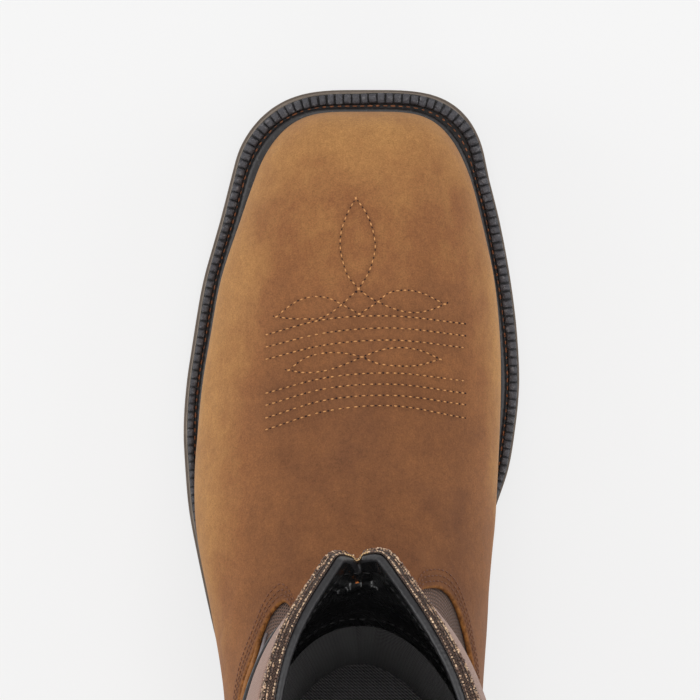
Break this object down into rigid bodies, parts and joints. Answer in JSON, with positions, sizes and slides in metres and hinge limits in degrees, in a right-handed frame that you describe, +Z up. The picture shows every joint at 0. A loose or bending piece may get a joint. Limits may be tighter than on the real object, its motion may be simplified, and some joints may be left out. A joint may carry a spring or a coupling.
{
  "type": "western work boot",
  "caption": "Left pull-on western work boot with a wide square toe, ribbed welt, stacked heel, lugged sole, woven shaft panels and a dipped leather-bound collar with two pull straps.",
  "frame": {"origin": "on the floor, under the middle of the bounding box in the plan", "axes": "+Z up along the shaft, +Y from the heel to the toe, +X from the outer to the inner side of the foot"},
  "size_m": [0.116, 0.3046, 0.319],
  "materials": {
    "sole_rubber": "matte",
    "lift_rubber": "matte",
    "midsole": "matte",
    "welt": "satin",
    "rand": "satin",
    "footbed": "matte",
    "shaft_mesh": "matte",
    "vamp_leather": "oiled nubuck",
    "counter_leather": "oiled nubuck",
    "band_canvas": "matte",
    "braid": "metallic thread",
    "binding_leather": "semi-gloss",
    "piping_leather": "semi-gloss",
    "strap_webbing": "matte"
  },
  "bodies": {
    "root": {"outsole": "sole_rubber", "heel_base": "sole_rubber", "heel_top_lift": "lift_rubber", "midsole": "midsole", "welt": "welt", "rand": "rand", "insole": "footbed", "upper": "shaft_mesh", "vamp": "vamp_leather", "counter": "counter_leather", "collar_band": "band_canvas", "collar_braid": "braid", "collar_binding": "binding_leather", "side_piping_outer": "piping_leather", "side_piping_inner": "piping_leather", "pull_strap_outer": "strap_webbing", "pull_strap_inner": "strap_webbing"}
  },
  "joints": []
}
